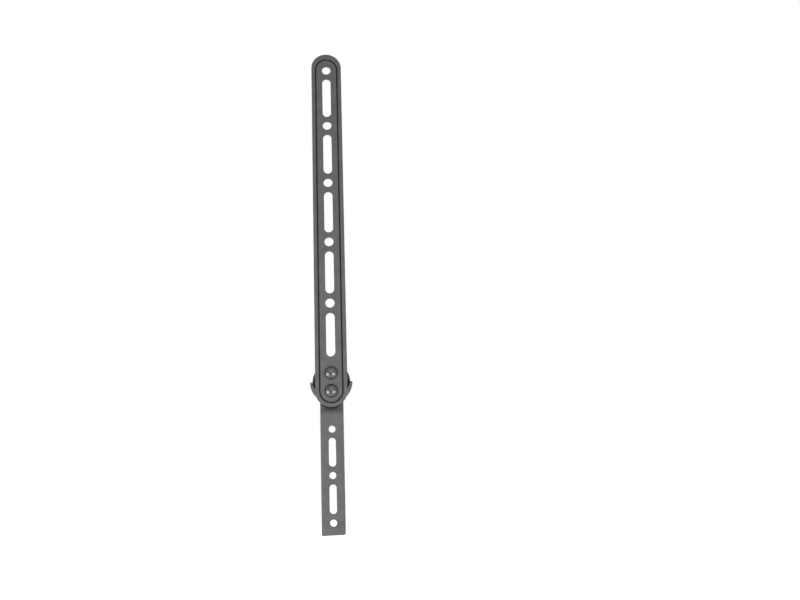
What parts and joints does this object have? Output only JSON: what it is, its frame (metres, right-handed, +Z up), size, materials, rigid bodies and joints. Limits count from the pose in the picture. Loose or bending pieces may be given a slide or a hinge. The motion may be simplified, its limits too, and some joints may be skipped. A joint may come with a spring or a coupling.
{
  "type": "soundbar bracket",
  "caption": "Upright slotted steel strip with a pressed groove and round ends, and a narrower slotted arm bolted behind its lower end.",
  "frame": {"origin": "middle round hole of the upper strip, at the back of its sheet", "axes": "+Z up the strip, +Y from the front to the back, +X to the right seen from the front"},
  "size_m": [0.0404, 0.0174, 0.4826],
  "materials": {
    "bar_coat": "fine black powder coat",
    "arm_coat": "fine black powder coat",
    "bolt_black": "glossy black",
    "nut_black": "satin black zinc"
  },
  "bodies": {
    "root": {"upper_bar": "bar_coat", "lower_arm": "arm_coat", "upper_bolt": "bolt_black", "lower_bolt": "bolt_black", "upper_washer": "nut_black", "lower_washer": "nut_black", "upper_nut": "nut_black", "lower_nut": "nut_black"}
  },
  "joints": []
}
